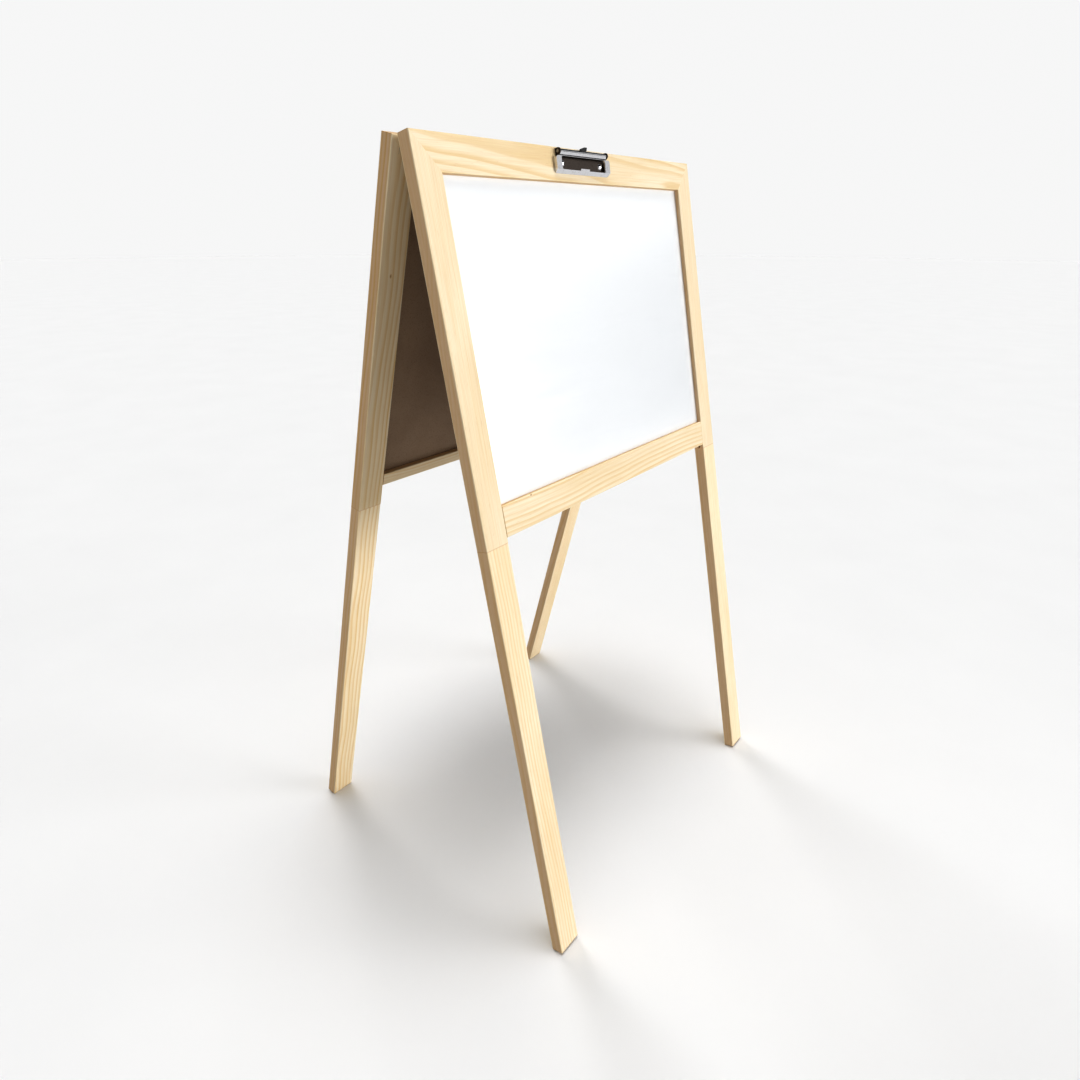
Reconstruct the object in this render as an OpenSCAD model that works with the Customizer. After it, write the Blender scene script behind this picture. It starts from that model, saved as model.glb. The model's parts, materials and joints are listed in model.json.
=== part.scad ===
// Kids easel: two pine board frames hinged along their top rails, standing as an A.
// Front frame: whiteboard and paper clip. Rear frame: chalkboard and chalk ledge.
// Origin on the floor midway between the four feet, +Z up, front frame towards -Y.
// Millimetres.

/* [Frames] */
// Overall width across the legs
easel_w = 700; // [600:10:760]
// Length of each leg line, from the top edge of the rail to the foot
leg_line = 1180; // [900:10:1300]
// Lean of each frame from vertical when the easel stands open
lean = 13.13; // [8:0.01:18]
// Width of the planed frame sticks
stick_w = 45; // [38:1:55]
// Thickness of the planed frame sticks
stick_t = 19; // [16:1:25]
// Radius of the eased stick edges
ease_r = 1.2; // [0.5:0.1:2]
// Width of the plain leg stock below the splice
leg_w = 44.5; // [36:0.5:50]

/* [Boards] */
// Distance from the top edge down to the bottom rail
rail_drop = 460; // [350:5:560]
// Length of a grooved stile, from the top edge down to the leg splice
stile_len = 512; // [420:1:640]
// Thickness of the hardboard panels
panel_t = 3.2; // [2.5:0.1:5]
// Depth of a panel behind the frame's outer face
panel_recess = 7.4; // [5:0.1:9]
// Depth of the groove that holds a panel
groove_d = 8; // [6:0.5:10]
// Gap left at each end of a bottom rail
rail_gap = 0.3; // [0.1:0.1:0.6]

/* [Hinges] */
// Distance of each hinge's centre from the middle of the easel
hinge_x = 230; // [120:10:260]
// Length of a hinge along its pin
hinge_len = 60; // [50:5:80]
// Width of a hinge leaf below its pin
leaf_w = 27; // [24:1:32]
// Thickness of the hinge leaves
leaf_t = 1.5; // [1.2:0.1:1.7]
// Outer diameter of the hinge knuckles
knuckle_d = 6.4; // [5.6:0.2:7.2]
// Diameter of the hinge pins
pin_d = 3; // [2.5:0.1:3.2]
// Height of the hinge pin above the rails' inner top edges
pin_rise = 4; // [3.8:0.1:6]

/* [Paper clip] */
// Overall width of the clip jaw
jaw_w = 141; // [130:1:160]
// Width of the window in the jaw
window_w = 115; // [108:1:115]
// Distance from the rail's top edge down to the clip rod
rod_drop = 7; // [6.8:0.1:8]
// Height of the clip rod above the rail's face
rod_out = 4.8; // [4.6:0.1:5.2]
// Diameter of the clip rod
rod_d = 2.5; // [2:0.1:2.6]
// Thickness of the clip's sheet steel
sheet_t = 0.8; // [0.6:0.1:0.9]
// Distance of each clip screw from the middle
clip_screw_x = 50; // [46:0.5:51]

/* [Fasteners] */
// Diameter of the wooden dowels
dowel_d = 8; // [6:1:8]
// Length of the wooden dowels
dowel_len = 40; // [30:5:40]
// Diameter of the hinge and clip screws
screw_d = 3.5; // [3:0.1:4]
// Length of the hinge screws under the leaf's face
screw_len = 15; // [12:1:16]

/* [Hidden] */
$fn = 48;

eps = 1;                                  // overshoot of a cutting solid
run_gap = 0.05;                           // radial running clearance of both pins
face_d = knuckle_d / 2;                   // from the pin axis to each frame's inner face
half_w = easel_w / 2;
inner_x = half_w - stick_w;               // inner edge of the stiles
pin_z = (pin_rise + leg_line) * cos(lean) - face_d * sin(lean);
fold = 2 * lean;                          // swing from standing open to folded flat
groove_slack = 0.2;                       // room for a panel in its groove
groove_w = panel_t + groove_slack;
groove_y = -stick_t + panel_recess;       // outer wall of the panel groove
panel_in = groove_d - 1;                  // how far a panel enters its groove

pine = [0.95, 0.87, 0.7];
pine_leg = [0.93, 0.84, 0.65];
beech = [0.85, 0.72, 0.52];
steel = [0.72, 0.73, 0.75];
chrome = [0.85, 0.86, 0.88];

// ---------- placing ----------

// Frame space: x across, z = 0 at the top edge, y = 0 on the inner face, -y outwards
module front_place() {
    translate([0, 0, pin_z]) rotate([-lean, 0, 0]) translate([0, -face_d, -pin_rise]) children();
}

module rear_place() {
    mirror([0, 1, 0]) front_place() children();
}

// Clip space: y = 0 on the rail's outer face
module clip_place() {
    front_place() translate([0, -stick_t, 0]) children();
}

// Extrudes an outline drawn in y, z along x, from x0 to x1
module along_x(x0, x1) {
    translate([x0, 0, 0]) rotate([90, 0, 90]) linear_extrude(x1 - x0) children();
}

module both_sides() {
    children();
    mirror([1, 0, 0]) children();
}

// ---------- sticks ----------

// Section of a planed stick with its four long edges eased
module eased(w, t, r = ease_r) {
    translate([r, 0]) square([w - 2 * r, t]);
    translate([0, r]) square([w, t - 2 * r]);
    for (x = [r, w - r], y = [r, t - r]) translate([x, y]) circle(r);
}

// Removes the far side of the 45 degree mitre at the left top corner
module mitre_cut(keep_rail) {
    far = stick_w + eps;
    corner = keep_rail ? [-eps, -far] : [far, eps];
    translate([-half_w, eps, 0]) rotate([90, 0, 0])
        linear_extrude(stick_t + 2 * eps) polygon([[-eps, eps], [far, -far], corner]);
}

// Left stile: grooved along its inner edge and mitred at the top
module stile_stick() {
    difference() {
        translate([-half_w, -stick_t, -stile_len]) linear_extrude(stile_len) eased(stick_w, stick_t);
        mitre_cut(false);
        translate([-inner_x - groove_d, groove_y, -stile_len - eps])
            cube([groove_d + eps, groove_w, stile_len + 2 * eps]);
    }
}

module top_rail_stick() {
    difference() {
        translate([0, -stick_t, -stick_w]) along_x(-half_w, half_w) eased(stick_t, stick_w);
        both_sides() mitre_cut(true);
        translate([-half_w - eps, groove_y, -stick_w - eps])
            cube([easel_w + 2 * eps, groove_w, groove_d + eps]);
    }
}

// Rail between the stiles, its top edge grooved for the panel
module lower_rail_stick(depth, height) {
    reach = inner_x - rail_gap;
    difference() {
        translate([0, -depth, -rail_drop - height]) along_x(-reach, reach) eased(depth, height);
        translate([-reach - eps, groove_y, -rail_drop - groove_d])
            cube([2 * (reach + eps), groove_w, groove_d + eps]);
    }
}

module leg_stick() {
    translate([-half_w, -stick_t, -leg_line])
        linear_extrude(leg_line - stile_len) eased(leg_w, stick_t);
}

module panel_sheet() {
    w = 2 * (inner_x + panel_in);
    h = rail_drop - stick_w + 2 * panel_in;
    translate([-w / 2, groove_y + groove_slack / 2, -rail_drop - panel_in]) cube([w, panel_t, h]);
}

// ---------- wood joints ----------

dowel_pitch = 18;                         // spacing of the two dowels in a leg splice
dowel_shift = 1;                          // keeps the inner dowel clear of the stile's groove
rail_dowel_z = [13, 26];                  // dowel heights below the front bottom rail's top
ledge_dowel_d = 6;                        // thinner dowels suit the flat ledge
ledge_dowel_y = [5.5, 13.5];              // dowel places through the ledge's depth
nail_z = [14, 30];                        // corner fasteners, down the mitre line
nail_w = 9;                               // how deep a fastener goes into the wood
nail_t = 0.8;
nail_leg = 7;                             // length of each leg of the V

// Two dowels across the splice of the left leg
module leg_dowel_pair() {
    for (side = [-1, 1])
        translate([-half_w + leg_w / 2 - dowel_shift + side * dowel_pitch / 2, -stick_t / 2,
                   -stile_len - dowel_len / 2])
            cylinder(d = dowel_d, h = dowel_len);
}

// Dowels across the butt joint at the left end of the front bottom rail
module rail_dowel_pair() {
    for (z = rail_dowel_z)
        translate([-inner_x - dowel_len / 2, -stick_t / 2, -rail_drop - z])
            rotate([0, 90, 0]) cylinder(d = dowel_d, h = dowel_len);
}

// Dowels across the butt joint at the left end of the chalk ledge
module ledge_dowel_pair() {
    for (y = ledge_dowel_y)
        translate([-inner_x - dowel_len / 2, -y, -rail_drop - stick_t / 2])
            rotate([0, 90, 0]) cylinder(d = ledge_dowel_d, h = dowel_len);
}

// Two V-shaped steel fasteners pressed across the left mitre from the inner face
module corner_nail_pair() {
    for (z = nail_z)
        translate([-half_w + z, 0, -z]) rotate([90, 0, 0]) linear_extrude(nail_w) corner_nail_outline();
}

module corner_nail_outline() {
    for (side = [0, 1]) mirror([side, side])
        translate([-nail_t / 2, -nail_t / 2]) square([nail_leg, nail_t]);
}

// ---------- screws ----------

head_d = 7;
head_h = 2;
tip_len = 3;
tip_d = 0.6;                              // blunt end of a screw's point
recess = [3.8, 0.9];                      // length and width of a cross recess's arms
recess_deep = 1.6;

// Countersunk screw along -y, its head flush with y = 0
module screw_body(len) {
    rotate([90, 0, 0]) {
        cylinder(d1 = head_d, d2 = screw_d, h = head_h);
        cylinder(d = screw_d, h = len - tip_len);
        translate([0, 0, len - tip_len]) cylinder(d1 = screw_d, d2 = tip_d, h = tip_len);
    }
}

module cross_recess(deep) {
    for (turn = [0, 90]) rotate([0, turn, 0])
        translate([-recess[0] / 2, -deep, -recess[1] / 2]) cube([recess[0], deep + eps, recess[1]]);
}

// Places of the three screws of one hinge, as [x from its centre, drop below the pin]
screw_spots = [[-22, 12], [0, 20], [22, 12]];

// Screws of the left hinge's front leaf, in frame space
module leaf_screw_places() {
    for (spot = screw_spots)
        translate([-hinge_x + spot[0], leaf_t, pin_rise - spot[1]]) children();
}

module leaf_screw_bodies() {
    leaf_screw_places() screw_body(screw_len);
}

module leaf_screws() {
    leaf_screw_places() difference() {
        screw_body(screw_len);
        cross_recess(recess_deep);
    }
}

// ---------- wooden parts ----------

module front_left_stile() {
    color(pine) front_place() difference() {
        stile_stick();
        leg_dowel_pair();
        rail_dowel_pair();
        corner_nail_pair();
    }
}

module front_right_stile() { mirror([1, 0, 0]) front_left_stile(); }

module front_top_rail() {
    color(pine) front_place() difference() {
        top_rail_stick();
        both_sides() corner_nail_pair();
        both_sides() leaf_screw_bodies();
        translate([0, -stick_t, 0]) both_sides() clip_screw_body();
    }
}

module front_bottom_rail() {
    color(pine) front_place() difference() {
        lower_rail_stick(stick_t, stick_w);
        both_sides() rail_dowel_pair();
    }
}

module front_left_leg() {
    color(pine_leg) front_place() difference() {
        leg_stick();
        leg_dowel_pair();
    }
}

module front_right_leg() { mirror([1, 0, 0]) front_left_leg(); }

module whiteboard_panel() { color([0.97, 0.97, 0.97]) front_place() panel_sheet(); }

module front_leg_dowels() { color(beech) front_place() both_sides() leg_dowel_pair(); }

module front_rail_dowels() { color(beech) front_place() both_sides() rail_dowel_pair(); }

module front_corner_nails() { color(steel) front_place() both_sides() corner_nail_pair(); }

module rear_left_stile() {
    color(pine) rear_place() difference() {
        stile_stick();
        leg_dowel_pair();
        ledge_dowel_pair();
        corner_nail_pair();
    }
}

module rear_right_stile() { mirror([1, 0, 0]) rear_left_stile(); }

module rear_top_rail() {
    color(pine) rear_place() difference() {
        top_rail_stick();
        both_sides() corner_nail_pair();
        both_sides() leaf_screw_bodies();
    }
}

// Stick laid flat, so that it stands out behind the chalkboard as a ledge
module rear_chalk_ledge() {
    color(pine) rear_place() difference() {
        lower_rail_stick(stick_w, stick_t);
        both_sides() ledge_dowel_pair();
    }
}

module rear_left_leg() {
    color(pine_leg) rear_place() difference() {
        leg_stick();
        leg_dowel_pair();
    }
}

module rear_right_leg() { mirror([1, 0, 0]) rear_left_leg(); }

module chalkboard_panel() { color([0.16, 0.18, 0.17]) rear_place() panel_sheet(); }

module rear_leg_dowels() { color(beech) rear_place() both_sides() leg_dowel_pair(); }

module rear_ledge_dowels() { color(beech) rear_place() both_sides() ledge_dowel_pair(); }

module rear_corner_nails() { color(steel) rear_place() both_sides() corner_nail_pair(); }

// ---------- hinges ----------

knuckles = 5;
knuckle_gap = 0.3;
knuckle_len = (hinge_len - (knuckles - 1) * knuckle_gap) / knuckles;
dog_len = 1.5;                            // reach of a stop dog into the middle knuckle
dog_at = [50, 110];                       // span of a stop dog around the pin, easel open
dog_slack = 0.15;                         // angle left between dog and stop
dog_room = 1;                             // angle left behind a dog when the easel is folded
dog_end = 0.2;                            // gap past the end of a dog
dog_thin = 0.1;                           // how far a dog stays below the knuckle's surface
knuckle_neck = 0.4;                       // gap between the knuckles and the leaf's plate

function knuckle_x(i) = -hinge_len / 2 + i * (knuckle_len + knuckle_gap);

// Part of a ring around the pin between two angles, from x0 to x1
module ring_sector(a0, a1, r_in, r_out, x0, x1) {
    reach = 2 * r_out;
    mid = (a0 + a1) / 2;
    along_x(x0, x1) intersection() {
        difference() {
            circle(r_out);
            circle(r_in);
        }
        polygon([[0, 0], for (a = [a0, mid, a1]) reach * [cos(a), sin(a)]]);
    }
}

// Leaf hanging below the pin, in pin space; own is the first of its knuckles
module leaf(own, bore_d) {
    top = face_d + knuckle_neck;
    difference() {
        union() {
            translate([-hinge_len / 2, -face_d, -leaf_w]) cube([hinge_len, leaf_t, leaf_w - top]);
            for (i = [own : 2 : knuckles - 1]) {
                translate([knuckle_x(i), -face_d, -top - eps]) cube([knuckle_len, leaf_t, top + eps]);
                along_x(knuckle_x(i), knuckle_x(i) + knuckle_len) circle(d = knuckle_d);
            }
        }
        along_x(-hinge_len / 2 - eps, hinge_len / 2 + eps) circle(d = bore_d);
    }
}

// Front leaf: its middle knuckle is recessed at both ends for the stop dogs
module front_leaf() {
    middle = knuckle_x(2);
    from = dog_at[0] - fold - dog_room + lean;
    to = dog_at[1] + dog_slack + lean;
    deep = dog_len - knuckle_gap + dog_end;
    difference() {
        leaf(0, pin_d);
        ring_sector(from, to, 0, knuckle_d, middle - eps, middle + deep);
        ring_sector(from, to, 0, knuckle_d, middle + knuckle_len - deep, middle + knuckle_len + eps);
    }
}

// Rear leaf, drawn as it lies before it is mirrored; its dogs stop the opening
module rear_leaf() {
    bore_r = pin_d / 2 + run_gap;
    reach_r = knuckle_d / 2 - dog_thin;
    from = 180 - dog_at[1] + lean;
    to = 180 - dog_at[0] + lean;
    root = knuckle_x(2) - knuckle_gap;
    leaf(1, 2 * bore_r);
    ring_sector(from, to, bore_r, reach_r, root - eps, root + dog_len);
    ring_sector(from, to, bore_r, reach_r, knuckle_x(3) - dog_len, knuckle_x(3) + eps);
}

// Puts a leaf drawn in pin space onto the left hinge, with its screw holes
module mounted_leaf() {
    difference() {
        translate([-hinge_x, face_d, pin_rise]) children();
        leaf_screw_bodies();
    }
}

module left_hinge_front_leaf() { color(steel) front_place() mounted_leaf() front_leaf(); }

module right_hinge_front_leaf() { mirror([1, 0, 0]) left_hinge_front_leaf(); }

module left_hinge_rear_leaf() { color(steel) rear_place() mounted_leaf() rear_leaf(); }

module right_hinge_rear_leaf() { mirror([1, 0, 0]) left_hinge_rear_leaf(); }

module left_hinge_pin() {
    cap = 0.8;
    cap_d = pin_d + 1.6;
    color(steel) translate([-hinge_x, 0, pin_z]) {
        along_x(-hinge_len / 2, hinge_len / 2) circle(d = pin_d);
        for (end = [-1, 1])
            translate([end * (hinge_len + cap) / 2, 0, 0]) along_x(-cap / 2, cap / 2) circle(d = cap_d);
    }
}

module right_hinge_pin() { mirror([1, 0, 0]) left_hinge_pin(); }

module front_hinge_screws() { color(steel) front_place() both_sides() leaf_screws(); }

module rear_hinge_screws() { color(steel) rear_place() both_sides() leaf_screws(); }

// ---------- paper clip ----------

// Heights are above the rail's face, drops are below its top edge
hood_r = 3.4;                             // outer radius of the jaw where it wraps the rod
hood_end = 50;                            // angle around the rod where the hood's sheet ends
hood_v = 8;                               // drop where the hood's front turns into the slope
hood_lap = 0.1;                           // overlap of the hood and the sheet below it
bend_rise = 0.4;                          // how much higher the sheet's inner surface bends
slope = [6.3, 11.2];                      // height and drop where the slope meets the flat
flat_n = 5.8;                             // height of the jaw's flat frame
shoulder_v = 12.8;                        // where the jaw widens below the rod ears
window_v = 30.4;                          // lower edge of the jaw's window
window_r = 3;
corner_r = 4;                             // rounding of the jaw's corners
lip_v = 35;                               // lower edge of the jaw
lip_lift = 0.15;                          // gap between the closed lip and the rail
lip_edge = 1.1;                           // width of the lip's cut edge
lip_bend = 0.2;                           // half the width of the bend above the lip
flange = [14, 33.2];                      // drops where a side flange starts and ends
flange_lift = 0.5;                        // gap between a closed side flange and the rail
ear_x = 61.9;                             // inner face of the base's rod ears
ear_t = 1;
ear_r = 4.6;
ear_gap = 0.7;                            // gap between an ear and the jaw's cheek
cheek_x = ear_x - ear_gap;                // outer face of the jaw's cheeks
cheek_in = 0.2;                           // how far a cheek stays inside the sheet's outer surface
cheek_back = 2.2;                         // reach of a cheek's inner edge below and behind the rod
base_v = [9.5, 31];                       // upper and lower edge of the base plate
tongue_w = 12;                            // tongues of the base that the springs push on
tongue_up = 6.5;
thumb_w = 15;
thumb_lean = 20;                          // outward lean of the thumb tab
thumb_tab = 1.5;                          // reach of the jaw's steel tab above the hood
thumb_reach = 5;                          // reach of the grip above the hood
thumb_drop = 3;                           // how much lower the grip is at its left end
thumb_slope = 15;                         // fall of its top towards that end
spring_x = 26;                            // middle of each spring
spring_wire = 0.9;
spring_r = 1.9;                           // mean radius of the coil
spring_turns = 6.85;
spring_pitch = spring_wire + 0.06;
spring_half = spring_turns * spring_pitch / 2;

// Moves an outline or solid to the clip rod's axis
module at_rod() { translate([0, -rod_out, -rod_drop]) children(); }

// Point at height n above the rail's face and v below its top edge
function nv(n, v) = [-n, -v];

// Section of the jaw's sheet: hood, shoulder, flat and lip
module jaw_outline() {
    n = rod_out + hood_r;
    t = sheet_t;
    top = rod_drop - hood_lap;
    face = [nv(n, top), nv(n, hood_v), nv(slope[0], slope[1]), nv(flat_n, window_v + lip_bend),
            nv(lip_lift, lip_v)];
    back = [nv(lip_lift, lip_v - lip_edge), nv(flat_n - t, window_v - lip_bend),
            nv(slope[0] - t, slope[1] - bend_rise), nv(n - t, hood_v - bend_rise), nv(n - t, top)];
    reach = 3 * hood_r;
    polygon(concat(face, back));
    translate(nv(rod_out, rod_drop)) intersection() {
        difference() {
            circle(hood_r);
            circle(hood_r - t);
        }
        polygon([[0, 0], reach * [cos(hood_end), sin(hood_end)], [0, reach], [-reach, reach], [-reach, 0]]);
    }
}

// The jaw seen square-on: a body with rounded corners below a narrower hood, and the window
module jaw_plan() {
    top = -shoulder_v - corner_r;
    difference() {
        union() {
            translate([-jaw_w / 2, -lip_v]) eased(jaw_w, lip_v - shoulder_v, corner_r);
            translate([-cheek_x, top]) square([2 * cheek_x, hood_r - rod_drop + eps - top]);
        }
        translate([-window_w / 2, -window_v]) eased(window_w, window_v - shoulder_v - 0.4, window_r);
    }
}

// Flange along one side of the jaw, from the sheet down to just above the rail
module jaw_side_flange() {
    along_x(-jaw_w / 2, -jaw_w / 2 + sheet_t)
        polygon([nv(flange_lift, flange[0]), nv(flat_n, shoulder_v + 0.6), nv(flat_n - 0.1, window_v - 0.4),
                 nv(flat_n - 1, window_v), nv(flange_lift, flange[1])]);
}

// Cheek that carries the rod at one end of the hood
module jaw_cheek() {
    foot = slope - [cheek_in, cheek_in];
    along_x(-cheek_x, -cheek_x + sheet_t) difference() {
        union() {
            translate(nv(rod_out, rod_drop)) circle(hood_r);
            polygon([nv(rod_out, rod_drop), nv(rod_out + hood_r - cheek_in, rod_drop),
                     nv(foot[0], foot[1]), nv(foot[0] - 1, foot[1]),
                     nv(rod_out - cheek_back, rod_drop + cheek_back)]);
        }
        translate(nv(rod_out, rod_drop)) circle(d = rod_d + 2 * run_gap);
    }
}

module clip_jaw() {
    ridge_w = 24;
    ridge = [nv(flat_n - 0.1, 30.8), nv(flat_n + 1.1, 28.2), nv(flat_n + 0.4, 27.9),
             nv(flat_n - 0.8, 30.3)];
    through = rod_out + hood_r + eps;
    color(chrome) clip_place() {
        intersection() {
            union() {
                along_x(-jaw_w / 2, jaw_w / 2) jaw_outline();
                both_sides() jaw_side_flange();
            }
            rotate([90, 0, 0]) linear_extrude(through) jaw_plan();
        }
        both_sides() jaw_cheek();
        along_x(-ridge_w / 2, ridge_w / 2) polygon(ridge);
        thumb_tab_plate();
    }
}

// Section of the tab above the hood, its thickness centred on the tab's own line
module thumb_outline(t, reach) {
    root = hood_r - 0.5;
    translate(nv(rod_out, rod_drop)) rotate(thumb_lean) translate([-t / 2, root])
        square([t, hood_r + reach - root]);
}

module thumb_tab_plate() {
    along_x(-thumb_w / 2 + 1, thumb_w / 2 - 1) thumb_outline(sheet_t, thumb_tab);
}

// Grip moulded over the jaw's tab, lower towards its left end
module clip_thumb_grip() {
    wall = 0.9;
    cutter = 10;
    color([0.08, 0.08, 0.08]) clip_place() difference() {
        along_x(-thumb_w / 2, thumb_w / 2) difference() {
            thumb_outline(sheet_t + 2 * wall, thumb_reach);
            translate(nv(rod_out, rod_drop)) circle(hood_r + 0.2);
        }
        thumb_tab_plate();
        at_rod() rotate([thumb_lean, 0, 0]) translate([-thumb_w / 2, 0, hood_r + thumb_reach - thumb_drop])
            rotate([0, -thumb_slope, 0]) translate([-eps, -cutter / 2, 0]) cube([thumb_w, cutter, cutter]);
    }
}

// Left cheek of the base that holds one end of the rod
module base_ear() {
    along_x(-ear_x - ear_t, -ear_x) difference() {
        union() {
            translate(nv(rod_out, rod_drop)) circle(ear_r);
            translate(nv(rod_out, rod_drop + ear_r)) square([rod_out, 2 * ear_r]);
        }
        translate(nv(rod_out, rod_drop)) circle(d = rod_d);
    }
}

module clip_base() {
    edge = ear_x + ear_t;
    color(chrome) clip_place() difference() {
        union() {
            translate([-edge, -sheet_t, -base_v[1]]) cube([2 * edge, sheet_t, base_v[1] - base_v[0]]);
            both_sides() base_ear();
            both_sides() translate([-spring_x - tongue_w / 2, -sheet_t, -base_v[0] - eps])
                cube([tongue_w, sheet_t, tongue_up + eps]);
        }
        both_sides() clip_screw_body();
    }
}

module clip_rod() {
    half = ear_x + ear_t;
    cap = 1;
    cap_d = rod_d + 1.5;
    color(steel) clip_place() at_rod() {
        along_x(-half, half) circle(d = rod_d);
        for (end = [-1, 1])
            translate([end * (half + cap / 2), 0, 0]) along_x(-cap / 2, cap / 2) circle(d = cap_d);
    }
}

clip_screw_v = 21;                        // drop of the clip screws
clip_screw_len = 15;
dome_r = 5.5;
dome_h = 2.4;
dome_cross_deep = 0.9;

// Shank of the left clip screw, through the base plate and into the rail
module clip_screw_body() {
    translate([-clip_screw_x, -sheet_t, -clip_screw_v]) rotate([-90, 0, 0])
        cylinder(d = screw_d, h = clip_screw_len);
}

module clip_screws() {
    ball_r = (dome_r * dome_r + dome_h * dome_h) / (2 * dome_h);
    color(chrome) clip_place() both_sides() {
        clip_screw_body();
        translate([-clip_screw_x, -sheet_t, -clip_screw_v]) difference() {
            rotate([90, 0, 0]) intersection() {
                translate([0, 0, dome_h - ball_r]) sphere(ball_r);
                cylinder(r = dome_r, h = dome_h);
            }
            translate([0, -dome_h, 0]) cross_recess(dome_cross_deep);
        }
    }
}

// ---------- clip springs ----------

spring_steps = 14;                        // points along one turn
spring_foot = [[rod_out - 1.3, 3.6], [rod_out - 1.7, 2.4]];
spring_tip = [[1.92, 62], [2.02, 50], [2.2, 42.5], [2.55, 38.5], [3.6, 38.5]];  // radius and angle

function spring_at(r, angle, x) = [x, r * cos(angle), r * sin(angle)];

// Foot on the base's tongue, close-wound turns, and a tip that hooks up behind the hood's edge
spring_path = concat(
    [for (p = spring_foot) [-spring_half, p[0], p[1]]],
    [for (i = [0 : spring_steps * spring_turns])
        spring_at(spring_r, -i * 360 / spring_steps, -spring_half + i * spring_pitch / spring_steps)],
    [for (p = spring_tip) spring_at(p[0], p[1], spring_half)]
);

function unit(v) = v / norm(v);

// Ring of points around the wire at point i of a path that bends about x
function wire_ring(path, i, r, sides) =
    let (last = len(path) - 1,
         t = unit(path[min(i + 1, last)] - path[max(i - 1, 0)]),
         u = unit(cross(t, [1, 0, 0])),
         w = cross(t, u))
    [for (k = [0 : sides - 1]) path[i] + r * (cos(360 * k / sides) * u + sin(360 * k / sides) * w)];

module wire(path, r, sides = 8) {
    rings = len(path);
    points = [for (i = [0 : rings - 1]) each wire_ring(path, i, r, sides)];
    walls = [for (i = [0 : rings - 2], k = [0 : sides - 1])
        let (next = (k + 1) % sides)
        [i * sides + k, i * sides + next, (i + 1) * sides + next, (i + 1) * sides + k]];
    first = [for (k = [sides - 1 : -1 : 0]) k];
    final = [for (k = [0 : sides - 1]) (rings - 1) * sides + k];
    polyhedron(points, concat(walls, [first, final]), convexity = 8);
}

module clip_spring_left() {
    color(steel) clip_place() at_rod() translate([-spring_x, 0, 0]) wire(spring_path, spring_wire / 2);
}

module clip_spring_right() { mirror([1, 0, 0]) clip_spring_left(); }

// ---------- output ----------

front_left_stile();
front_right_stile();
front_top_rail();
front_bottom_rail();
front_left_leg();
front_right_leg();
whiteboard_panel();
front_leg_dowels();
front_rail_dowels();
front_corner_nails();
rear_left_stile();
rear_right_stile();
rear_top_rail();
rear_chalk_ledge();
rear_left_leg();
rear_right_leg();
chalkboard_panel();
rear_leg_dowels();
rear_ledge_dowels();
rear_corner_nails();
left_hinge_front_leaf();
right_hinge_front_leaf();
left_hinge_rear_leaf();
right_hinge_rear_leaf();
left_hinge_pin();
right_hinge_pin();
front_hinge_screws();
rear_hinge_screws();
clip_base();
clip_jaw();
clip_rod();
clip_spring_left();
clip_spring_right();
clip_screws();
clip_thumb_grip();
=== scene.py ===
"""Looks of the kids easel: pine frames, whiteboard, chalkboard, hinges and paper clip."""
import json
import math

import bpy
import bmesh
import numpy as np
from mathutils import Matrix, Vector


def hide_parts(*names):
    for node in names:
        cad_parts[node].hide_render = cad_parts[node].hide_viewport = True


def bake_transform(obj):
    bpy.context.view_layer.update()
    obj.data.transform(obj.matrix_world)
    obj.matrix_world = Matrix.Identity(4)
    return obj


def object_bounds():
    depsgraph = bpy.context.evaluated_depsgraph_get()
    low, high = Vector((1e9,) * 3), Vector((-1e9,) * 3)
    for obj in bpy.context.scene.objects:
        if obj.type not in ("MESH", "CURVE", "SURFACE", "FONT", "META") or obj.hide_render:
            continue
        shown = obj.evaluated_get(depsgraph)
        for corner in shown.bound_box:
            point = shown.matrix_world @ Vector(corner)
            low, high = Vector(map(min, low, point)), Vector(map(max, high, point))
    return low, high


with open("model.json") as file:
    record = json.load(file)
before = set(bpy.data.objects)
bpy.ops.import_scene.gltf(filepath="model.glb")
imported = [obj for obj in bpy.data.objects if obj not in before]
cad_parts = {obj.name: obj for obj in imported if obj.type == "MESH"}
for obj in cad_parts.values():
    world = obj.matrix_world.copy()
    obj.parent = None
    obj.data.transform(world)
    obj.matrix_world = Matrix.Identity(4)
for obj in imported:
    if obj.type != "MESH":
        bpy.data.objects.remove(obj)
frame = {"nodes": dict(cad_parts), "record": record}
cad_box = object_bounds()

MM = 0.001
SHARP_ANGLE = math.radians(32)            # edges over this stay crisp on CAD nodes
NODES = frame["nodes"]
MOUNTS = {m["name"]: m for m in frame["record"]["mounts"]}

# The frames lean by the angle between a leg's line and the vertical
leg_line = MOUNTS["front_left_foot"]["axis"]
LEAN = math.atan2(-leg_line[1], -leg_line[2])


# ---------- tilted space: x across, y through the frame, z up the frame ----------

def tilt(rear=False):
    """Matrix from tilted space, where a frame stands upright, to the row frame."""
    return Matrix.Rotation(LEAN if rear else -LEAN, 4, "X")


def tilted_box(node, rear=False):
    """Lowest and highest corner of a CAD node in tilted space."""
    turn = np.array(tilt(rear).inverted())[:3, :3]
    co = np.array([v.co for v in NODES[node].data.vertices], float) @ turn.T
    return Vector(co.min(0)), Vector(co.max(0))


# ---------- node helpers ----------

def new_material(name):
    material = bpy.data.materials.new(name)
    material.use_nodes = True
    return material, material.node_tree, material.node_tree.nodes["Principled BSDF"]


def plug(tree, socket, value):
    """Sets a socket to a number, colour or vector, or links it to another node's socket."""
    if isinstance(value, bpy.types.NodeSocket):
        tree.links.new(value, socket)
    elif socket.type == "RGBA" and len(value) == 3:
        socket.default_value = (*value, 1.0)
    else:
        socket.default_value = value


def add(tree, kind, inputs=(), **settings):
    node = tree.nodes.new(kind)
    for key, value in settings.items():
        setattr(node, key, value)
    for key, value in dict(inputs).items():
        plug(tree, node.inputs[key], value)
    return node


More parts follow.
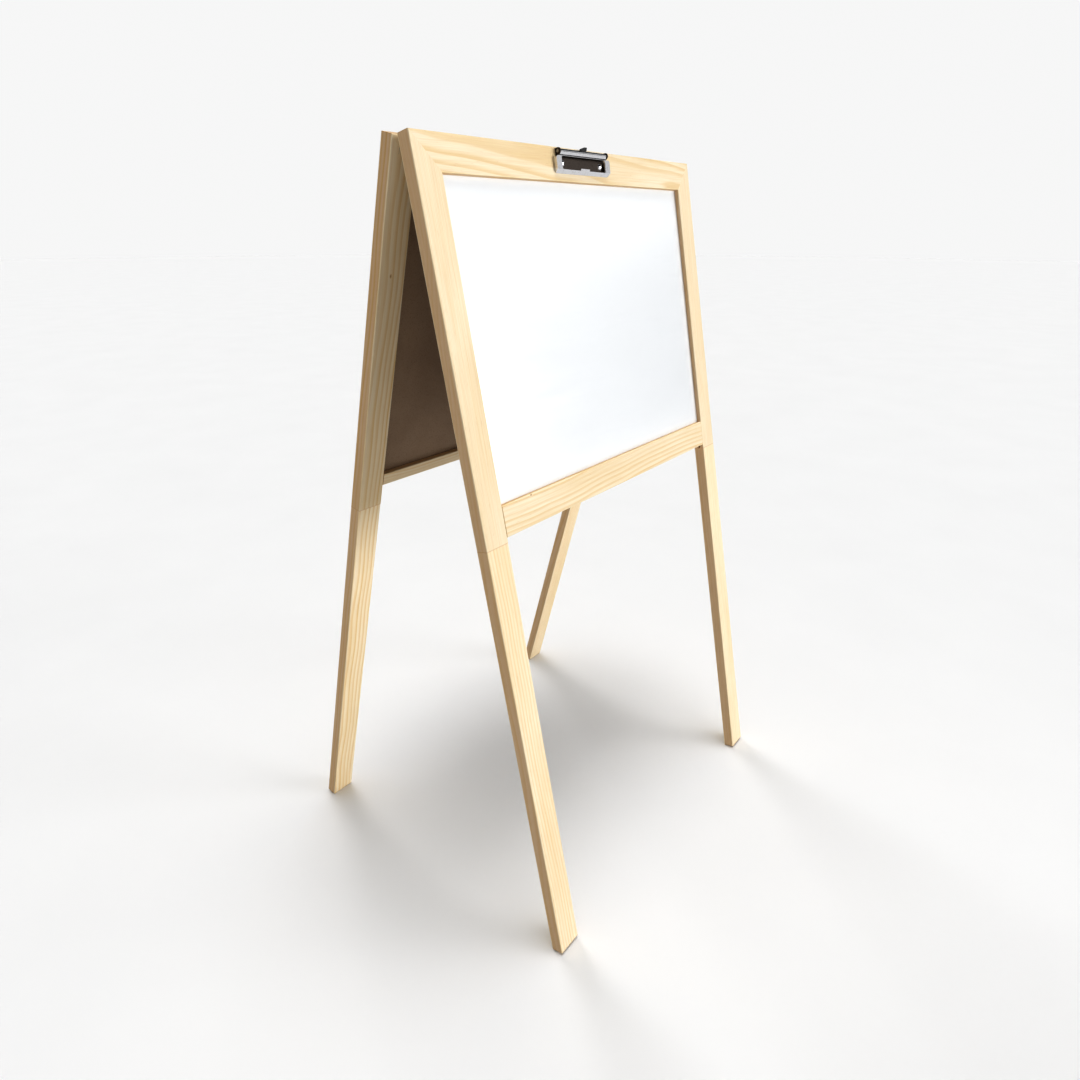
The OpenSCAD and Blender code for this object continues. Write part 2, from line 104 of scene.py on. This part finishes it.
def calc(tree, operation, *values, clamp=False):
    node = tree.nodes.new("ShaderNodeMath")
    node.operation = operation
    node.use_clamp = clamp
    for socket, value in zip(node.inputs, values):
        plug(tree, socket, value)
    return node.outputs[0]


def mix(tree, factor, a, b, blend="MIX"):
    node = tree.nodes.new("ShaderNodeMix")
    node.data_type = "RGBA"
    node.blend_type = blend
    plug(tree, node.inputs[0], factor)
    plug(tree, node.inputs[6], a)
    plug(tree, node.inputs[7], b)
    return node.outputs[2]


def spread(tree, value, low, high, to_low=0.0, to_high=1.0):
    """Smooth ramp from low..high to to_low..to_high."""
    node = add(tree, "ShaderNodeMapRange", interpolation_type="SMOOTHSTEP")
    for key, number in zip(("Value", "From Min", "From Max", "To Min", "To Max"),
                           (value, low, high, to_low, to_high)):
        plug(tree, node.inputs[key], number)
    return node.outputs[0]


def noise(tree, vector, scale=1.0, detail=3.0, rough=0.5, kind="FBM"):
    return add(tree, "ShaderNodeTexNoise", {"Vector": vector, "Scale": scale, "Detail": detail,
                                             "Roughness": rough}, noise_type=kind)


def scaled(tree, vector, factors, offset=(0, 0, 0)):
    return add(tree, "ShaderNodeMapping", {"Vector": vector, "Scale": factors, "Location": offset}).outputs[0]


def bump(tree, bsdf, height, distance, strength=1.0):
    node = add(tree, "ShaderNodeBump", {"Height": height, "Distance": distance, "Strength": strength})
    plug(tree, bsdf.inputs["Normal"], node.outputs[0])


# ---------- pine ----------

EARLYWOOD = (0.85, 0.76, 0.60)
LATEWOOD = (0.73, 0.55, 0.28)
# Also drawn, 1.15 times as strong, as painted shade on the narrow faces
AMBER = (0.55, 0.31, 0.12)
KNOT = (0.20, 0.09, 0.035)
# Paler colour for the arrises: wear and a painted highlight
EDGE_WEAR_AND_HIGHLIGHT = (0.90, 0.79, 0.55)
PITH_WANDER = 0.034                       # full range of the pith line's wander, in metres
RING_RIPPLE = 0.0028                      # full range of the rings' unevenness, in metres
KNOT_STEP = 0.006                         # how far the rings step round a knot, in metres
KNOT_STRETCH = 0.62                       # knots are longer along the stick than across it


def stick_space(tree, rear, along, middle):
    """Coordinates inside a stick, in metres: across its width, through its thickness, along its length."""
    place = tree.nodes.new("ShaderNodeTexCoord").outputs["Object"]
    lean = -LEAN if rear else LEAN
    upright = add(tree, "ShaderNodeMapping", {"Vector": place, "Rotation": (lean, 0, 0),
                                              "Location": tuple(-middle)}).outputs[0]
    if along == "z":
        return upright
    parts = add(tree, "ShaderNodeSeparateXYZ", {"Vector": upright}).outputs
    return add(tree, "ShaderNodeCombineXYZ", {"X": parts[2], "Y": parts[1], "Z": parts[0]}).outputs[0]


def knot_field(tree, parts, knots):
    """Nearness to the stick's knots: 1 at a knot's heart, 0 away from all of them."""
    total = None
    for across, along, radius in knots:
        dx = calc(tree, "SUBTRACT", parts[0], across)
        dz = calc(tree, "MULTIPLY", calc(tree, "SUBTRACT", parts[2], along), KNOT_STRETCH)
        away = calc(tree, "SQRT", calc(tree, "ADD", calc(tree, "MULTIPLY", dx, dx),
                                       calc(tree, "MULTIPLY", dz, dz)))
        near = spread(tree, away, radius * 2.0, 0.0)
        total = near if total is None else calc(tree, "MAXIMUM", total, near)
    return total


def pine(name, node, rear, along, pith, slope, seed, ring, depth, tone, knots):
    """Planed pine whose growth rings lie around a pith line beside the stick.

    ring is the mean width of a year in mm and depth is how strongly the latewood shows.
    """
    low, high = tilted_box(node, rear)
    middle, half = (low + high) / 2, (high - low) / 2
    width, length = (half.x, half.z) if along == "z" else (half.z, half.x)
    material, tree, bsdf = new_material(name)
    inside = stick_space(tree, rear, along, middle)
    parts = add(tree, "ShaderNodeSeparateXYZ", {"Vector": inside}).outputs

    # Distance from the pith, which wanders along the stick and steps round the knots
    drift = noise(tree, scaled(tree, inside, (0, 0, 2.2), (0, 0, seed)), 1.0, 2.0).outputs["Color"]
    drift = add(tree, "ShaderNodeSeparateXYZ", {"Vector": drift}).outputs
    off = []
    for i in range(2):
        wander = calc(tree, "MULTIPLY", calc(tree, "SUBTRACT", drift[i], 0.5), PITH_WANDER)
        line = calc(tree, "MULTIPLY_ADD", parts[2], slope[i], pith[i])
        off.append(calc(tree, "SUBTRACT", calc(tree, "SUBTRACT", parts[i], line), wander))
    away = calc(tree, "SQRT", calc(tree, "ADD", calc(tree, "MULTIPLY", off[0], off[0]),
                                   calc(tree, "MULTIPLY", off[1], off[1])))
    ripple = noise(tree, scaled(tree, inside, (60, 60, 7), (seed, 0, 0)), 1.0, 3.0).outputs[0]
    away = calc(tree, "MULTIPLY_ADD", calc(tree, "SUBTRACT", ripple, 0.5), RING_RIPPLE, away)
    near_knot = knot_field(tree, parts, knots) if knots else None
    if near_knot is not None:
        away = calc(tree, "MULTIPLY_ADD", near_knot, KNOT_STEP, away)
    phase = calc(tree, "MULTIPLY_ADD", away, 1000 / ring, seed)
    season = calc(tree, "FRACT", phase)
    rings = calc(tree, "MULTIPLY", spread(tree, season, 0.30, 0.80), spread(tree, season, 1.0, 0.88))
    count = add(tree, "ShaderNodeCombineXYZ", {"X": calc(tree, "MULTIPLY", phase, 0.45)}).outputs[0]
    year = noise(tree, count, 1.0, 1.0).outputs[0]
    rings = calc(tree, "MULTIPLY", rings, spread(tree, year, 0.3, 0.65, 0.35, 1.0))

    fibres = noise(tree, scaled(tree, inside, (1100, 1100, 20), (0, seed, 0)), 1.0, 3.0, 0.6).outputs[0]
    streaks = noise(tree, scaled(tree, inside, (330, 330, 6), (seed, 2, 0)), 1.0, 3.0, 0.6).outputs[0]
    clouds = noise(tree, scaled(tree, inside, (14, 14, 3.0), (seed, seed, 0)), 1.0, 2.0).outputs[0]
    ducts = noise(tree, scaled(tree, inside, (900, 900, 60), (seed, 3, 1)), 1.0, 1.0).outputs[0]

    light, dark = (tuple(c * tone for c in colour) for colour in (EARLYWOOD, LATEWOOD))
    colour = mix(tree, calc(tree, "MULTIPLY", rings, depth), light, dark)
    colour = mix(tree, spread(tree, clouds, 0.35, 0.75, 0.0, 0.28), colour, tuple(c * 0.94 for c in dark))
    colour = mix(tree, spread(tree, streaks, 0.42, 0.75, 0.0, 0.30), colour, dark)
    colour = mix(tree, spread(tree, fibres, 0.35, 0.72, 0.0, 0.14), colour, AMBER)
    colour = mix(tree, spread(tree, ducts, 0.72, 0.80, 0.0, 0.30), colour, AMBER)
    if near_knot is not None:
        colour = mix(tree, spread(tree, near_knot, 0.25, 0.62, 0.0, 0.45), colour, AMBER)
        colour = mix(tree, spread(tree, near_knot, 0.62, 0.80, 0.0, 0.40), colour, KNOT)

    # The narrow faces carry painted shade, drawn more amber than the sanded flats; the cut ends are more
    # amber, as end grain; the arrises are paler, from wear and a painted highlight
    side = calc(tree, "SUBTRACT", width, calc(tree, "ABSOLUTE", parts[0]))
    flat = calc(tree, "SUBTRACT", half.y, calc(tree, "ABSOLUTE", parts[1]))
    # Painted shade: the narrow faces across the thickness, the sides in the panel's recess too, are drawn
    # amber as if in shade
    side_painted_shade = calc(tree, "MULTIPLY", spread(tree, side, 0.0016, 0.0004), spread(tree, flat, 0.0002, 0.0022))
    colour = mix(tree, calc(tree, "MULTIPLY", side_painted_shade, 0.48), colour, tuple(c * 1.15 for c in AMBER))
    # Wear and a painted highlight: the arrises are drawn paler, as if catching light
    arris = calc(tree, "ADD", calc(tree, "MAXIMUM", side, flat), calc(tree, "MULTIPLY", ripple, 0.0008))
    colour = mix(tree, spread(tree, arris, 0.0022, 0.0008, 0.0, 0.35), colour, EDGE_WEAR_AND_HIGHLIGHT)
    end = spread(tree, calc(tree, "SUBTRACT", length, calc(tree, "ABSOLUTE", parts[2])), 0.0012, 0.0002)
    colour = mix(tree, calc(tree, "MULTIPLY", end, 0.35), colour, AMBER)
    plug(tree, bsdf.inputs["Base Color"], colour)

    gloss = calc(tree, "MULTIPLY_ADD", rings, -0.10, 0.54)
    plug(tree, bsdf.inputs["Roughness"], calc(tree, "MULTIPLY_ADD", fibres, 0.16, gloss))
    bsdf.inputs["Specular IOR Level"].default_value = 0.4
    relief = calc(tree, "MULTIPLY_ADD", fibres, 0.6, calc(tree, "MULTIPLY", rings, 0.5))
    bump(tree, bsdf, relief, 0.00025, 0.5)
    return material


# Each stick: whether it is in the rear frame, the way it runs, its pith line, the pith's slope,
# seed, ring width, ring depth, tone, and knots as (across, along, radius)
STICKS = {
    "front_left_stile": (False, "z", (-0.16, 0.05), (0.02, 0.0), 3.1, 2.2, 0.35, 1.0, ()),
    "front_right_stile": (False, "z", (0.12, 0.05), (-0.02, 0.0), 8.7, 2.8, 0.45, 1.0, ()),
    "front_top_rail": (False, "x", (0.004, 0.024), (-0.085, -0.02), 5.3, 8.5, 0.85, 1.0, ()),
    "front_bottom_rail": (False, "x", (-0.10, 0.06), (0.008, 0.0), 1.9, 6.3, 0.75, 0.99,
        ((0.021, -0.24, 0.0015),)),
    "front_left_leg": (False, "z", (0.10, 0.06), (-0.006, 0.0), 6.4, 5.2, 0.6, 1.05, ()),
    "front_right_leg": (False, "z", (-0.09, 0.05), (0.006, 0.0), 2.2, 4.2, 0.5, 1.07, ()),
    "rear_left_stile": (True, "z", (-0.035, 0.030), (0.030, 0.0), 7.7, 6.5, 1.0, 0.97,
        ((-0.003, 0.094, 0.0014),)),
    "rear_right_stile": (True, "z", (0.10, -0.04), (0.010, 0.0), 4.9, 4.0, 0.7, 0.98, ()),
    "rear_top_rail": (True, "x", (0.02, -0.04), (0.030, 0.0), 9.2, 5.5, 0.9, 1.0, ()),
    "rear_chalk_ledge": (True, "x", (0.05, -0.06), (0.012, 0.0), 0.6, 4.4, 0.7, 0.96, ()),
    "rear_left_leg": (True, "z", (-0.05, 0.05), (0.008, 0.0), 5.8, 5.8, 0.9, 1.03, ()),
    "rear_right_leg": (True, "z", (0.09, 0.05), (-0.01, 0.0), 3.6, 4.5, 0.7, 1.05, ()),
}


def dress(node, *materials):
    """Gives a CAD node its materials and smooth shading across its curved faces."""
    mesh = NODES[node].data
    mesh.materials.clear()
    for material in materials:
        mesh.materials.append(material)
    for face in mesh.polygons:
        face.material_index = 0
        face.use_smooth = True
    mesh.set_sharp_from_angle(angle=SHARP_ANGLE)


def dress_sticks():
    for node, grain in STICKS.items():
        dress(node, pine("pine_" + node, node, *grain))


# ---------- boards ----------

def hardboard():
    """Pressed brown fibre, mottled, with darker and paler flecks."""
    material, tree, bsdf = new_material("hardboard")
    place = tree.nodes.new("ShaderNodeTexCoord").outputs["Object"]
    flecks = noise(tree, place, 520, 4.0, 0.65).outputs[0]
    clouds = noise(tree, place, 9, 3.0, 0.6).outputs[0]
    strands = add(tree, "ShaderNodeTexVoronoi", {"Vector": place, "Scale": 700.0}, feature="F1").outputs[0]
    brown, pale_brown = (0.27, 0.19, 0.125), (0.33, 0.24, 0.165)
    dark_fleck, straw = (0.14, 0.09, 0.055), (0.50, 0.38, 0.25)
    colour = mix(tree, spread(tree, clouds, 0.3, 0.7), brown, pale_brown)
    colour = mix(tree, spread(tree, flecks, 0.52, 0.75, 0.0, 0.55), colour, dark_fleck)
    colour = mix(tree, spread(tree, strands, 0.28, 0.05, 0.0, 0.35), colour, straw)
    plug(tree, bsdf.inputs["Base Color"], colour)
    plug(tree, bsdf.inputs["Roughness"], spread(tree, flecks, 0.3, 0.7, 0.55, 0.75))
    bump(tree, bsdf, flecks, 0.0003, 0.6)
    return material


def melamine():
    """Glossy white writing surface with the faint haze of wiped marker."""
    material, tree, bsdf = new_material("melamine")
    place = tree.nodes.new("ShaderNodeTexCoord").outputs["Object"]
    haze = noise(tree, scaled(tree, place, (3, 5, 7)), 1.0, 4.0, 0.6).outputs[0]
    wipes = noise(tree, scaled(tree, place, (6, 60, 60)), 1.0, 3.0, 0.6).outputs[0]
    white, hazy, smeared = (0.86, 0.875, 0.89), (0.84, 0.855, 0.87), (0.80, 0.82, 0.84)
    colour = mix(tree, spread(tree, haze, 0.35, 0.75, 0.0, 0.6), white, hazy)
    colour = mix(tree, spread(tree, wipes, 0.55, 0.8, 0.0, 0.25), colour, smeared)
    plug(tree, bsdf.inputs["Base Color"], colour)
    plug(tree, bsdf.inputs["Roughness"], spread(tree, wipes, 0.3, 0.8, 0.10, 0.22))
    bsdf.inputs["Coat Weight"].default_value = 0.4
    bsdf.inputs["Coat Roughness"].default_value = 0.06
    bump(tree, bsdf, noise(tree, place, 260, 2.0).outputs[0], 0.00004, 0.5)
    return material


def chalk_paint():
    """Matte slate paint with chalk dust left by the wiping cloth."""
    material, tree, bsdf = new_material("chalk_paint")
    place = tree.nodes.new("ShaderNodeTexCoord").outputs["Object"]
    sweep = noise(tree, scaled(tree, place, (4, 22, 22), (2, 5, 1)), 1.0, 5.0, 0.6).outputs[0]
    cloud = noise(tree, place, 5, 3.0, 0.55).outputs[0]
    grit = noise(tree, place, 1100, 2.0, 0.6).outputs[0]
    dust = calc(tree, "MULTIPLY", spread(tree, sweep, 0.42, 0.78), spread(tree, cloud, 0.38, 0.68, 0.25, 1.0))
    dust = calc(tree, "MULTIPLY", dust, spread(tree, grit, 0.3, 0.7, 0.35, 0.7))
    slate, chalk = (0.018, 0.024, 0.022), (0.30, 0.32, 0.31)
    colour = mix(tree, dust, slate, chalk)
    plug(tree, bsdf.inputs["Base Color"], colour)
    plug(tree, bsdf.inputs["Roughness"], spread(tree, dust, 0.0, 0.5, 0.72, 0.92))
    bump(tree, bsdf, grit, 0.00012, 0.6)
    return material


def dress_panel(node, rear, face, back):
    """Face material on the panel's outer side, hardboard on its back and edges."""
    dress(node, face, back)
    outward = tilt(rear) @ Vector((0, 1 if rear else -1, 0))
    for polygon in NODES[node].data.polygons:
        polygon.material_index = 0 if polygon.normal.dot(outward) > 0.9 else 1


# ---------- metal and plastic ----------

def metal(name, colour, tarnish, rough, grain=(1, 1, 1), dents=0.00004):
    """Plated steel: finger haze, fine scratches and a slightly uneven surface."""
    material, tree, bsdf = new_material(name)
    place = tree.nodes.new("ShaderNodeTexCoord").outputs["Object"]
    haze = noise(tree, place, 220, 4.0, 0.65).outputs[0]
    scratches = noise(tree, scaled(tree, place, tuple(2600 * g for g in grain)), 1.0, 2.0, 0.6).outputs[0]
    plug(tree, bsdf.inputs["Base Color"],
         mix(tree, spread(tree, haze, 0.45, 0.75, 0.0, 0.6), colour, tarnish))
    bsdf.inputs["Metallic"].default_value = 1.0
    low, high = rough
    worn = spread(tree, haze, 0.35, 0.75, low, high)
    plug(tree, bsdf.inputs["Roughness"], calc(tree, "MULTIPLY_ADD", scratches, low * 0.6, worn))
    bump(tree, bsdf, calc(tree, "MULTIPLY_ADD", scratches, 0.3, haze), dents, 0.4)
    return material


def black_plastic():
    """Moulded grip, stippled and a little scuffed."""
    material, tree, bsdf = new_material("black_plastic")
    place = tree.nodes.new("ShaderNodeTexCoord").outputs["Object"]
    stipple = noise(tree, place, 2600, 2.0, 0.6).outputs[0]
    scuffs = noise(tree, place, 420, 4.0, 0.7).outputs[0]
    black, scuffed = (0.004, 0.004, 0.0045), (0.03, 0.03, 0.032)
    plug(tree, bsdf.inputs["Base Color"],
         mix(tree, spread(tree, scuffs, 0.55, 0.8, 0.0, 0.5), black, scuffed))
    plug(tree, bsdf.inputs["Roughness"], spread(tree, scuffs, 0.3, 0.8, 0.38, 0.62))
    bump(tree, bsdf, stipple, 0.00008, 0.6)
    return material


def beech():
    """Dowel wood, fine-grained and a little pink."""
    material, tree, bsdf = new_material("beech")
    place = tree.nodes.new("ShaderNodeTexCoord").outputs["Object"]
    grain = noise(tree, scaled(tree, place, (300, 900, 60)), 1.0, 4.0, 0.6).outputs[0]
    dark, light = (0.60, 0.40, 0.23), (0.72, 0.52, 0.33)
    plug(tree, bsdf.inputs["Base Color"], mix(tree, spread(tree, grain, 0.3, 0.7), dark, light))
    plug(tree, bsdf.inputs["Roughness"], spread(tree, grain, 0.3, 0.7, 0.6, 0.8))
    bump(tree, bsdf, grain, 0.0001, 0.5)
    return material


WELD_GAP = 0.00001
BEVEL_ANGLE = math.radians(35)


def soften_edges(node, width, segments=2):
    """Rounds a stamped part's sharp edges; its split vertices are welded first."""
    piece = NODES[node]
    weld = piece.modifiers.new("weld", "WELD")
    weld.merge_threshold = WELD_GAP
    bevel = piece.modifiers.new("bevel", "BEVEL")
    bevel.width = width
    bevel.segments = segments
    bevel.limit_method = "ANGLE"
    bevel.angle_limit = BEVEL_ANGLE
    normals = piece.modifiers.new("normals", "WEIGHTED_NORMAL")
    normals.weight = 100
    normals.keep_sharp = False


# ---------- clip springs ----------

SPRING_TURNS = 6.85
SPRING_R = 1.9 * MM
SPRING_WIRE = 0.9 * MM
SPRING_PITCH = 0.96 * MM
# In mm around the rod: the foot as (inwards, up), the tip as (radius, angle in degrees)
SPRING_FOOT = ((3.5, 3.6), (3.45, 3.0), (3.1, 2.3), (2.4, 1.2))
SPRING_TIP = ((1.92, 62), (2.02, 50), (2.2, 42.5), (2.55, 38.5), (3.6, 38.5))


def spring_path(steps=28):
    """Centre line of the left spring around the rod: along it, inwards and up, in metres."""
    half = SPRING_TURNS * SPRING_PITCH / 2
    path = [(-half, y * MM, z * MM) for y, z in SPRING_FOOT]
    for i in range(int(SPRING_TURNS * steps) + 1):
        angle = -math.tau * i / steps
        x = -half + i * SPRING_PITCH / steps
        path.append((x, SPRING_R * math.cos(angle), SPRING_R * math.sin(angle)))
    for radius, degrees in SPRING_TIP:
        angle = math.radians(degrees)
        path.append((half, radius * MM * math.cos(angle), radius * MM * math.sin(angle)))
    return [Vector(p) for p in path]


def tube_mesh(name, path, radius, sides=12):
    """Closed tube along a path that turns about X."""
    mesh = bmesh.new()
    rings = []
    for i, point in enumerate(path):
        along = (path[min(i + 1, len(path) - 1)] - path[max(i - 1, 0)]).normalized()
        out = along.cross(Vector((1, 0, 0))).normalized()
        other = along.cross(out)
        ring = []
        for k in range(sides):
            turn = math.tau * k / sides
            ring.append(mesh.verts.new(point + radius * (math.cos(turn) * out + math.sin(turn) * other)))
        rings.append(ring)
    for a, b in zip(rings, rings[1:]):
        for k in range(sides):
            mesh.faces.new((a[k], a[(k + 1) % sides], b[(k + 1) % sides], b[k]))
    mesh.faces.new(rings[0][::-1])
    mesh.faces.new(rings[-1])
    bmesh.ops.recalc_face_normals(mesh, faces=mesh.faces)
    data = bpy.data.meshes.new(name)
    mesh.to_mesh(data)
    mesh.free()
    return data


def make_spring(side, material):
    """Torsion spring coiled round the clip's rod, from its foot to its tip; the CAD spring is hidden."""
    label = "left" if side < 0 else "right"
    low, high = tilted_box("clip_rod")
    axis = (low + high) / 2
    ends = tilted_box(f"clip_spring_{label}")
    middle_x = abs(ends[0].x + ends[1].x) / 2
    path = [Vector((side * (middle_x - p.x), axis.y + p.y, axis.z + p.z)) for p in spring_path()]
    path = [tilt() @ p for p in path]
    data = tube_mesh(f"spring_coil_{label}", path, SPRING_WIRE / 2)
    data.materials.append(material)
    for face in data.polygons:
        face.use_smooth = True
    spring = bpy.data.objects.new(data.name, data)
    bpy.context.scene.collection.objects.link(spring)
    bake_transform(spring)
    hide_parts(f"clip_spring_{label}")


# ---------- stage ----------

CAMERA_PLACE = (-1.0240, -0.7128, 1.0520)
CAMERA_PITCH = 24.5
CAMERA_YAW = 50.2
CAMERA_SENSOR = 36                        # width, in mm
CAMERA_LENS = 24.288                      # focal length, in mm
CAMERA_SHIFT = (0.042213, 0.015954)       # as parts of the frame's width


def make_camera():
    """The photograph's viewpoint: its place, direction and lens."""
    data = bpy.data.cameras.new("camera")
    camera = bpy.data.objects.new("camera", data)
    bpy.context.scene.collection.objects.link(camera)
    camera.location = CAMERA_PLACE
    camera.rotation_euler = (math.radians(90 - CAMERA_PITCH), 0, math.radians(-CAMERA_YAW))
    data.sensor_width = CAMERA_SENSOR
    data.lens = CAMERA_LENS
    data.shift_x, data.shift_y = CAMERA_SHIFT
    data.clip_end = 100
    bpy.context.scene.camera = camera


# Name, direction from the easel to the light, strength, and apparent width in degrees
LIGHTS = (
    ("key", (0.50, -0.85, 0.10), 2.4, 36),
    ("top", (0.05, -0.05, 1.0), 2.1, 40),
    ("back", (0.35, 0.85, 0.45), 1.2, 30),
)


def sun(name, towards, strength, softness):
    """A distant white softbox."""
    data = bpy.data.lights.new(name, "SUN")
    data.energy = strength
    data.angle = math.radians(softness)
    light = bpy.data.objects.new(name, data)
    bpy.context.scene.collection.objects.link(light)
    light.rotation_euler = Vector(towards).to_track_quat("Z", "Y").to_euler()


ROOM_DIM = (0.05, 0.05, 0.05)
ROOM_BRIGHT = (0.80, 0.80, 0.80)
BACKDROP = (0.904, 0.904, 0.904)
# Display contrast like a catalogue photograph's: under 1 deepens the shade and its colour
CONTRAST_GAMMA = 0.70
EXPOSURE = 0.07


def make_world():
    """Pale backdrop; the room's soft light is one white strip all round the easel."""
    world = bpy.data.worlds.new("studio")
    bpy.context.scene.world = world
    world.use_nodes = True
    tree = world.node_tree
    background = tree.nodes["Background"]
    seen = tree.nodes.new("ShaderNodeLightPath").outputs["Is Camera Ray"]
    way = tree.nodes.new("ShaderNodeTexCoord").outputs["Generated"]
    height = add(tree, "ShaderNodeSeparateXYZ", {"Vector": way}).outputs[2]
    band = calc(tree, "MULTIPLY", spread(tree, height, 0.14, 0.24), spread(tree, height, 0.50, 0.40))
    room = mix(tree, band, ROOM_DIM, ROOM_BRIGHT)
    plug(tree, background.inputs["Color"], mix(tree, seen, room, BACKDROP))
    background.inputs["Strength"].default_value = 1.0


FLOOR_RADIUS = 30
FLOOR_DROP = 0.0005                       # keeps the floor just under the feet


def make_floor():
    """Plain pale floor, the same to every ray."""
    mesh = bpy.data.meshes.new("floor")
    grid = bmesh.new()
    bmesh.ops.create_circle(grid, cap_ends=True, segments=96, radius=FLOOR_RADIUS)
    grid.to_mesh(mesh)
    grid.free()
    floor = bpy.data.objects.new("floor", mesh)
    bpy.context.scene.collection.objects.link(floor)
    floor.location.z = cad_box[0].z - FLOOR_DROP
    material, tree, bsdf = new_material("floor_paint")
    place = tree.nodes.new("ShaderNodeTexCoord").outputs["Object"]
    cloud = noise(tree, place, 3, 3.0).outputs[0]
    plug(tree, bsdf.inputs["Base Color"], mix(tree, cloud, (0.80, 0.80, 0.80), (0.83, 0.83, 0.83)))
    bsdf.inputs["Roughness"].default_value = 0.8
    bsdf.inputs["Specular IOR Level"].default_value = 0.0
    mesh.materials.append(material)


def make_stage():
    """Key from the right front, a top light and a back light, all broad and white."""
    make_camera()
    make_world()
    make_floor()
    for light in LIGHTS:
        sun(*light)
    display = bpy.context.scene.view_settings
    display.view_transform = "Standard"
    display.exposure = EXPOSURE
    display.gamma = CONTRAST_GAMMA


# ---------- build ----------

make_stage()
dress_sticks()
board_back = hardboard()
dress_panel("whiteboard_panel", False, melamine(), board_back)
dress_panel("chalkboard_panel", True, chalk_paint(), board_back)

zinc = metal("zinc", (0.55, 0.55, 0.52), (0.42, 0.42, 0.38), (0.24, 0.42), grain=(1, 3, 3))
chrome = metal("chrome", (0.74, 0.74, 0.76), (0.62, 0.61, 0.60), (0.05, 0.16), dents=0.00002)
dark_chrome = metal("dark_chrome", (0.085, 0.070, 0.060), (0.05, 0.04, 0.035), (0.22, 0.38), dents=0.00002)
spring_steel = metal("spring_steel", (0.36, 0.36, 0.37), (0.22, 0.20, 0.18), (0.22, 0.38))
dowel_wood = beech()

for node in NODES:
    if "hinge" in node or "nails" in node:
        dress(node, zinc)
    elif "dowels" in node:
        dress(node, dowel_wood)
for side in ("left", "right"):
    for leaf in ("front_leaf", "rear_leaf", "pin"):
        soften_edges(f"{side}_hinge_{leaf}", 0.25 * MM)
dress("clip_rod", spring_steel)
dress("clip_base", dark_chrome)
dress("clip_jaw", chrome)
dress("clip_screws", chrome)
dress("clip_thumb_grip", black_plastic())
soften_edges("clip_jaw", 0.12 * MM, 1)
soften_edges("clip_thumb_grip", 0.3 * MM)
for side in (-1, 1):
    make_spring(side, spring_steel)
